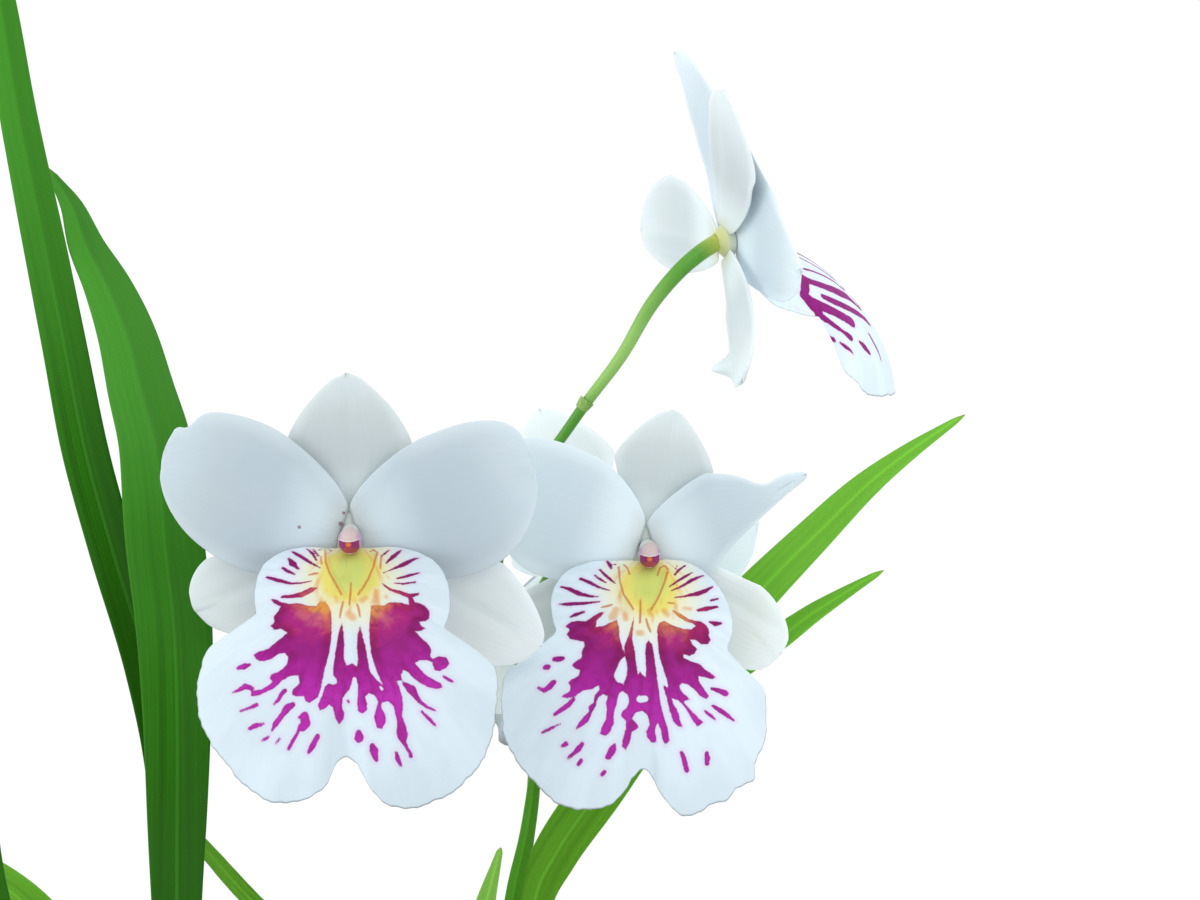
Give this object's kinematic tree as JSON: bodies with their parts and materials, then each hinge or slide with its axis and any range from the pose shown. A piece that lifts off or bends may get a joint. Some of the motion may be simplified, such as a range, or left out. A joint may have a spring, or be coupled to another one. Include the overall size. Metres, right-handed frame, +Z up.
{
  "type": "pansy orchid",
  "caption": "Pansy orchid in a round pot: long strap leaves, an arching flower stem and flat white pansy-shaped blooms whose broad split lips carry magenta rays.",
  "frame": {"origin": "centre of the pot's flat underside", "axes": "+Z up along the pot's axis, the two front blooms face -Y, +X is to the right when looking at them"},
  "size_m": [0.2388, 0.1933, 0.3511],
  "materials": {
    "terracotta": "matte",
    "bark": "rough",
    "bulb_green": "satin",
    "leaf_deep": "satin",
    "leaf_bright": "satin",
    "sheath_green": "satin",
    "stem_green": "satin",
    "petal_white": "soft",
    "sepal_cream": "soft",
    "lip": "soft",
    "column": "soft"
  },
  "bodies": {
    "root": {"pot": "terracotta", "bark": "bark", "pseudobulb_1": "bulb_green", "pseudobulb_2": "bulb_green", "pseudobulb_3": "bulb_green", "pseudobulb_4": "bulb_green", "leaf_left_tall": "leaf_deep", "leaf_left_wide": "leaf_deep", "leaf_left_outer": "leaf_deep", "leaf_left_low": "leaf_bright", "leaf_left_young": "leaf_bright", "leaf_right_long": "leaf_bright", "leaf_right_second": "leaf_bright", "leaf_right_folded": "leaf_deep", "leaf_right_low": "leaf_bright", "leaf_front_low": "leaf_deep", "leaf_back_left": "leaf_deep", "leaf_back_right": "leaf_deep", "sheath_right": "sheath_green", "sheath_left": "sheath_green", "flower_stem": "stem_green", "left_bloom_dorsal_sepal": "sepal_cream", "left_bloom_left_petal": "petal_white", "left_bloom_right_petal": "petal_white", "left_bloom_left_lateral_sepal": "sepal_cream", "left_bloom_right_lateral_sepal": "sepal_cream", "left_bloom_lip": "lip", "left_bloom_column": "column", "right_bloom_dorsal_sepal": "sepal_cream", "right_bloom_left_petal": "petal_white", "right_bloom_right_petal": "petal_white", "right_bloom_left_lateral_sepal": "sepal_cream", "right_bloom_right_lateral_sepal": "sepal_cream", "right_bloom_lip": "lip", "right_bloom_column": "column", "top_bloom_dorsal_sepal": "sepal_cream", "top_bloom_left_petal": "petal_white", "top_bloom_right_petal": "petal_white", "top_bloom_left_lateral_sepal": "sepal_cream", "top_bloom_right_lateral_sepal": "sepal_cream", "top_bloom_lip": "lip", "top_bloom_column": "column", "rear_bloom_dorsal_sepal": "sepal_cream", "rear_bloom_left_petal": "petal_white", "rear_bloom_right_petal": "petal_white", "rear_bloom_left_lateral_sepal": "sepal_cream", "rear_bloom_right_lateral_sepal": "sepal_cream", "rear_bloom_lip": "lip", "rear_bloom_column": "column"}
  },
  "joints": []
}
